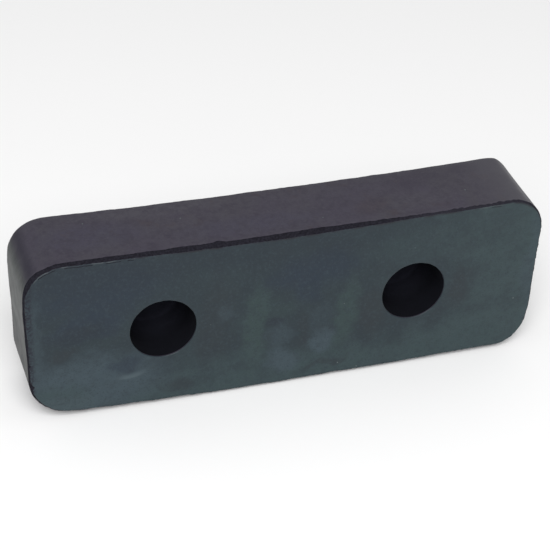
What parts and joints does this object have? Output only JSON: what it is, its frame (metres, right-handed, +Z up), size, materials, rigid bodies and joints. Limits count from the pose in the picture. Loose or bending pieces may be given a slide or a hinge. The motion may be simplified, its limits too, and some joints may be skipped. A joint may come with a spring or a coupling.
{
  "type": "rubber bumper block",
  "caption": "Moulded rubber bumper block with rounded corners, a trimmed front edge and two recessed bolt holes with steel washers moulded in, for a dock, wall or kerb.",
  "frame": {"origin": "centre of the flat mounting face at the back, midway between the two bolt axes", "axes": "+X along the block's length, +Y out of the mounting face towards the wall, so that the struck face looks along -Y, and +Z up"},
  "size_m": [0.305, 0.049, 0.1046],
  "materials": {
    "black_rubber": "matt moulded rubber with a faint grey-green bloom",
    "washer_steel": "plain rolled steel"
  },
  "bodies": {
    "root": {"rubber_block": "black_rubber", "left_washer": "washer_steel", "right_washer": "washer_steel"}
  },
  "joints": []
}
